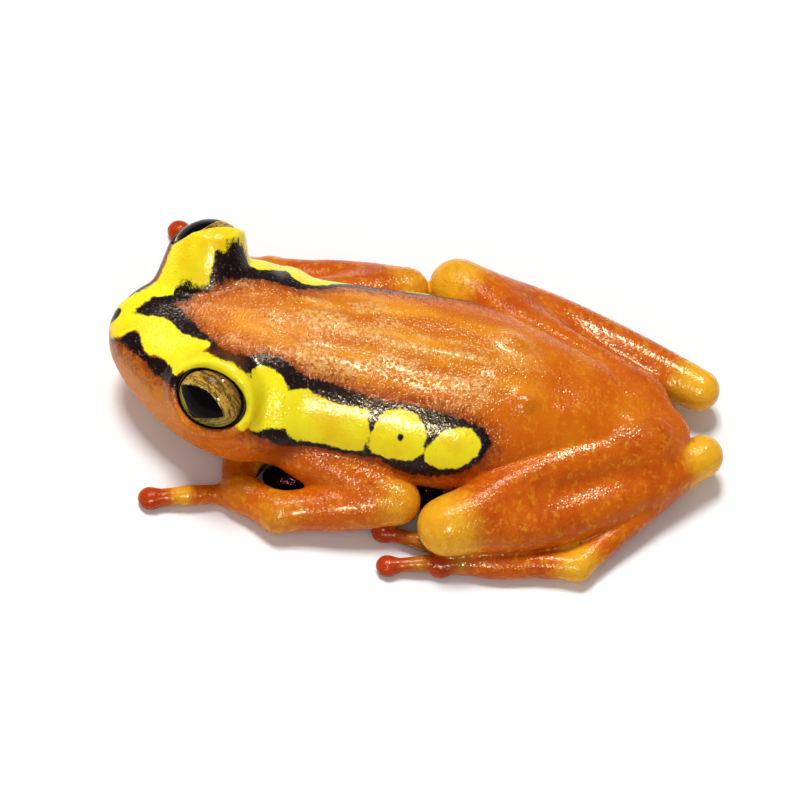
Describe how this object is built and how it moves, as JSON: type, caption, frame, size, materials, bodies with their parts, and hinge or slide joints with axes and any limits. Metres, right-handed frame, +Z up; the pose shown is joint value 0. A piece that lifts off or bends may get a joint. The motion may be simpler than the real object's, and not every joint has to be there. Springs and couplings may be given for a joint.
{
  "type": "red-yellow reed frog, still life-size model",
  "caption": "Small crouching reed frog with folded legs, rounded digit discs, lidded bulging eyes and a blunt snout, resting on its belly, hands and feet.",
  "frame": {"origin": "centre of the bounding box on the floor under the frog", "axes": "+Z up, the snout points to -Y, the frog's left side is +X"},
  "size_m": [0.0188, 0.0306, 0.0078],
  "materials": {
    "skin": "moist smooth skin with a soft shine",
    "eye": "clear wet gloss over a golden iris"
  },
  "bodies": {
    "root": {"head": "skin", "torso": "skin", "eye_left": "eye", "eye_right": "eye", "upper_arm_left": "skin", "forearm_left": "skin", "hand_left": "skin", "upper_arm_right": "skin", "forearm_right": "skin", "hand_right": "skin", "thigh_left": "skin", "shank_left": "skin", "tarsus_left": "skin", "foot_left": "skin", "thigh_right": "skin", "shank_right": "skin", "tarsus_right": "skin", "foot_right": "skin"}
  },
  "joints": []
}
